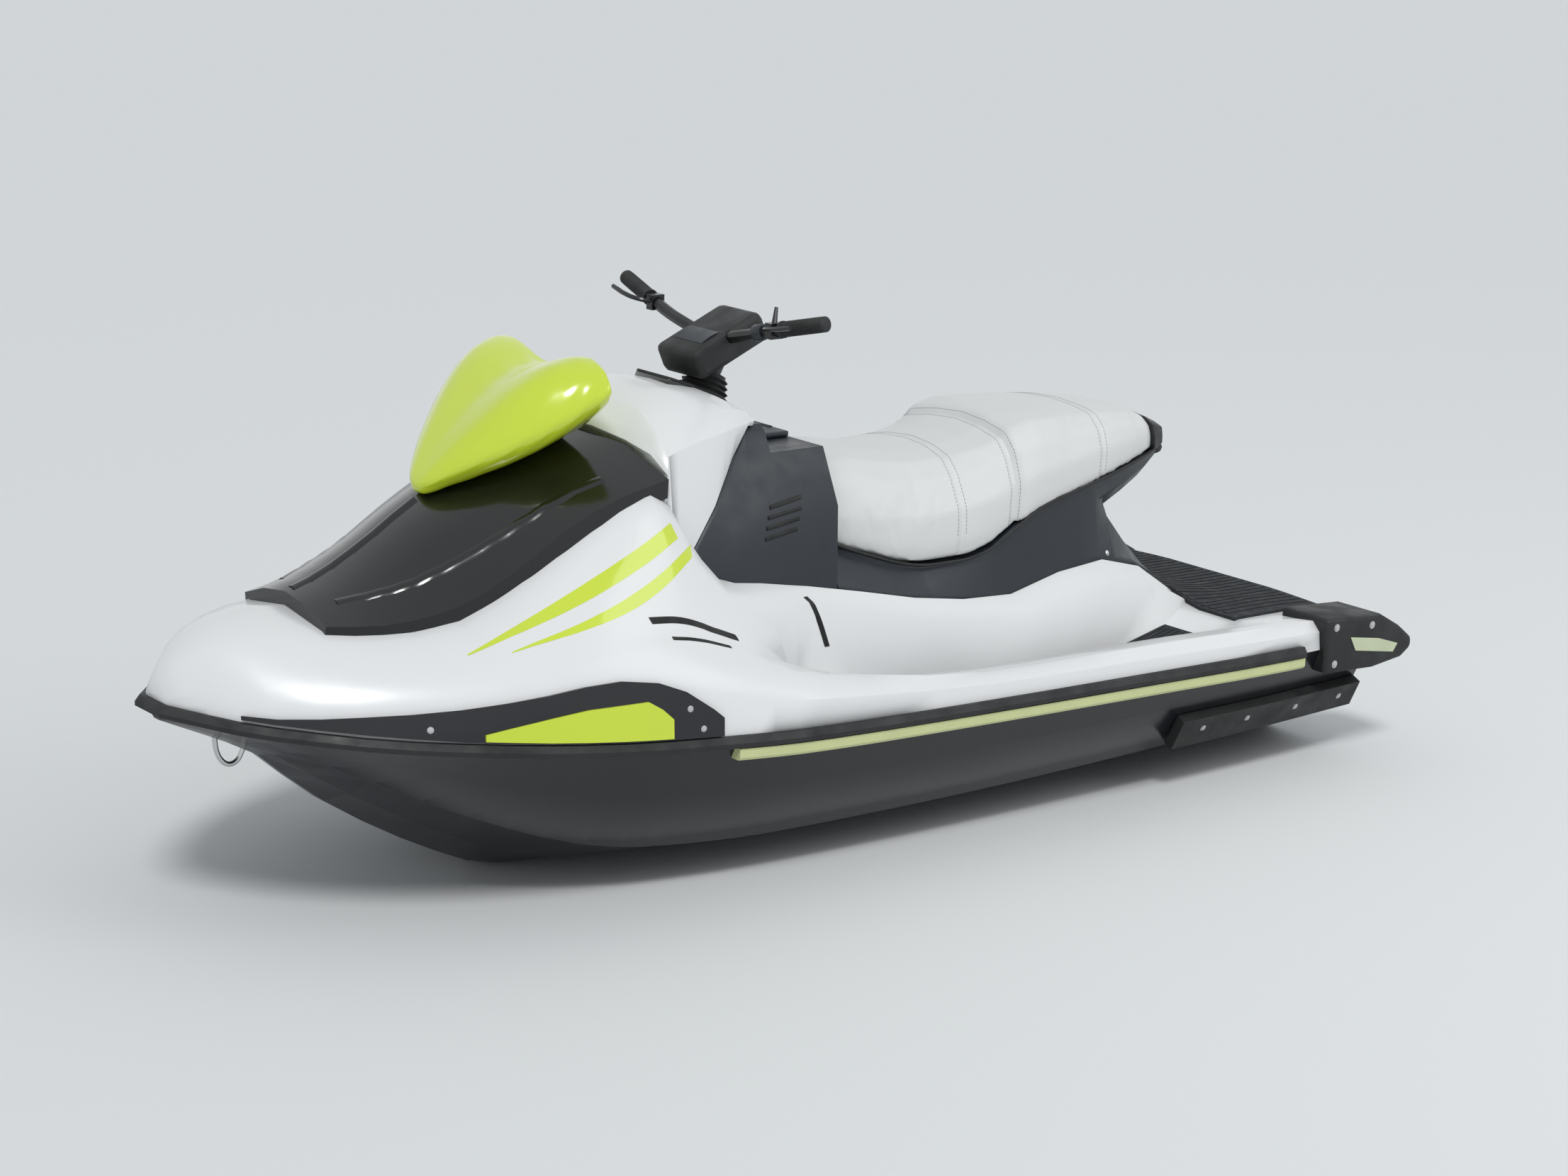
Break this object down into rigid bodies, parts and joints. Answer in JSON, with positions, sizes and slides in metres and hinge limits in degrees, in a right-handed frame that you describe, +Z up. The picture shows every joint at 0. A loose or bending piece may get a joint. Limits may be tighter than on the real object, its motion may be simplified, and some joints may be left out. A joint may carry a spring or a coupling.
{
  "type": "personal watercraft",
  "caption": "Personal watercraft with a V hull, jet pump, steering nozzle and reverse bucket, padded seat, handlebar, opening front bin and mirror cowl.",
  "frame": {"origin": "bottom centre of the craft, on the floor that its keel and ride plate stand on", "axes": "+X to the bow, +Y to port, +Z up"},
  "size_m": [3.13, 1.13, 1.1933],
  "materials": {
    "black_gelcoat": "moulded glass-fibre, black gelcoat",
    "white_gelcoat": "moulded glass-fibre, white gelcoat",
    "black_rubber": "moulded black rubber",
    "grey_foam": "ribbed dark foam mat",
    "white_vinyl": "white marine vinyl over foam",
    "dark_plastic": "moulded dark plastic",
    "hood_paint": "moulded cover, gloss black",
    "lime_paint": "moulded cover, gloss lime",
    "black_paint": "black coated tube",
    "aluminium": "cast and machined aluminium",
    "stainless": "machined stainless steel",
    "mirror": "mirror glass",
    "display": "dark display cover",
    "pale_lime": "moulded pale lime strip",
    "pale_plastic": "moulded pale inset",
    "engine_grey": "plain block in place of the engine"
  },
  "bodies": {
    "craft": {"hull": "black_gelcoat", "deck": "white_gelcoat", "rub_rail": "black_rubber", "console": "dark_plastic", "steering_cowl": "white_gelcoat", "bow_shoulder_left": "black_gelcoat", "bow_shoulder_right": "black_gelcoat", "sponson_left": "black_rubber", "sponson_right": "black_rubber", "stern_bumper_left": "black_rubber", "stern_bumper_right": "black_rubber", "drain_plug_left": "black_rubber", "drain_plug_right": "black_rubber", "gauge": "display", "seat_base": "dark_plastic", "seat": "white_vinyl", "grab_handle": "black_rubber", "foot_mat_left": "grey_foam", "foot_mat_right": "grey_foam", "rear_mat": "grey_foam", "intake_grate": "aluminium", "ride_plate": "aluminium", "pump_housing": "aluminium", "engine": "engine_grey", "accent_left": "lime_paint", "accent_right": "lime_paint", "side_stripe_left": "pale_lime", "side_stripe_right": "pale_lime", "bumper_inset_left": "pale_plastic", "bumper_inset_right": "pale_plastic"},
    "hood": {"hood": "hood_paint", "mirror_cowl": "lime_paint", "mirror_glass_left": "mirror", "mirror_glass_right": "mirror"},
    "glovebox_lid": {"glovebox_lid": "dark_plastic"},
    "steering": {"steering_column": "dark_plastic", "handlebar": "black_paint", "bar_pad": "black_rubber", "grip_left": "black_rubber", "grip_right": "black_rubber", "reverse_lever": "black_gelcoat", "throttle_lever": "black_gelcoat"},
    "nozzle": {"jet_nozzle": "aluminium"},
    "bucket": {"reverse_bucket": "aluminium"},
    "impeller": {"impeller": "stainless"}
  },
  "joints": [
    {"name": "steering_turn", "type": "hinge", "parent": "craft", "child": "steering", "pos_m": [0.215, 0, 0.975], "axis": [-0.4695, 0, 0.8829], "range_deg": [-22, 22]},
    {"name": "nozzle_turn", "type": "hinge", "parent": "craft", "child": "nozzle", "pos_m": [-1.3, 0, 0.15], "axis": [0, 0, 1], "range_deg": [-18, 18]},
    {"name": "bucket_swing", "type": "hinge", "parent": "craft", "child": "bucket", "pos_m": [-1.32, 0, 0.15], "axis": [0, -1, 0], "range_deg": [0, 75]},
    {"name": "impeller_spin", "type": "hinge", "parent": "craft", "child": "impeller", "pos_m": [-1.04, 0, 0.15], "axis": [1, 0, 0], "continuous": true},
    {"name": "hood_lift", "type": "hinge", "parent": "craft", "child": "hood", "pos_m": [1.275, 0, 0.64], "axis": [0, 1, 0], "range_deg": [0, 50]},
    {"name": "glovebox_lid_lift", "type": "hinge", "parent": "craft", "child": "glovebox_lid", "pos_m": [0.036, 0, 0.879], "axis": [0, -1, 0], "range_deg": [0, 95]}
  ],
  "couplings": [
    {"joint": "nozzle_turn", "follows": "steering_turn", "ratio": -0.8}
  ]
}
